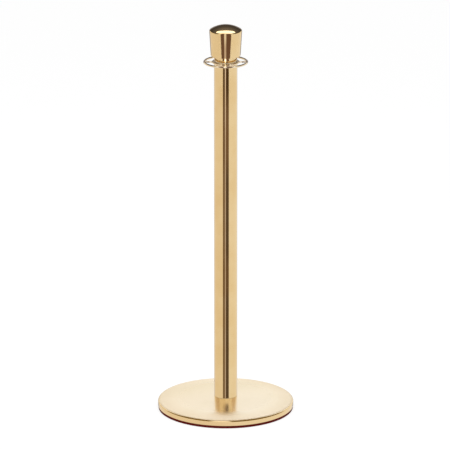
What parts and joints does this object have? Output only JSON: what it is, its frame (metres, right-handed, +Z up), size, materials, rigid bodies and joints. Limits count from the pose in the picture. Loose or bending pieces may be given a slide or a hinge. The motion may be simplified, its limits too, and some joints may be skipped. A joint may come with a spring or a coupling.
{
  "type": "rope barrier stanchion",
  "caption": "Free-standing post on a weighted round base, with a swivelling spoked ring for rope hooks held under a screw-on domed finial.",
  "frame": {"origin": "centre of the round base, on the floor", "axes": "+Z up along the post's axis; +X to the right and -Y towards the viewer, along two of the rope ring's four spokes"},
  "size_m": [0.356, 0.356, 1.04],
  "materials": {
    "polished_brass": "mirror-polished and lacquered",
    "satin_brass": "satin, brushed in circles round the centre",
    "maroon_rubber": "moulded, matt",
    "cast_iron": "as cast, black painted",
    "zinc_steel": "zinc plated",
    "spring_steel": "blackened",
    "turned_steel": "turned",
    "nylon": "natural, smooth"
  },
  "bodies": {
    "stanchion": {"floor_ring": "maroon_rubber", "base_weight": "cast_iron", "base_cover": "satin_brass", "base_bolt": "zinc_steel", "base_flat_washer": "zinc_steel", "base_spring_washer": "spring_steel", "foot_plug": "turned_steel", "post_tube": "polished_brass", "top_plug": "polished_brass", "ring_washer": "nylon"},
    "swivel_ring": {"rope_ring": "polished_brass", "ring_bush": "nylon"},
    "finial_carrier": {"captive_washer": "zinc_steel"},
    "finial": {"finial_base": "polished_brass", "finial_stud": "zinc_steel", "finial_lock_washer": "spring_steel", "finial_nut": "zinc_steel", "finial_shell": "polished_brass"}
  },
  "joints": [
    {"name": "ring_swivel", "type": "hinge", "parent": "stanchion", "child": "swivel_ring", "pos_m": [0, 0, 0.9415], "axis": [0, 0, 1], "continuous": true},
    {"name": "finial_lift", "type": "slide", "parent": "stanchion", "child": "finial_carrier", "axis": [0, 0, 1], "range_m": [0, 0.0211]},
    {"name": "finial_turn", "type": "hinge", "parent": "finial_carrier", "child": "finial", "pos_m": [0, 0, 0.9458], "axis": [0, 0, 1], "range_deg": [0, 4320]}
  ],
  "couplings": [
    {"joint": "finial_lift", "follows": "finial_turn", "m_per_rad": 0.00027852}
  ]
}
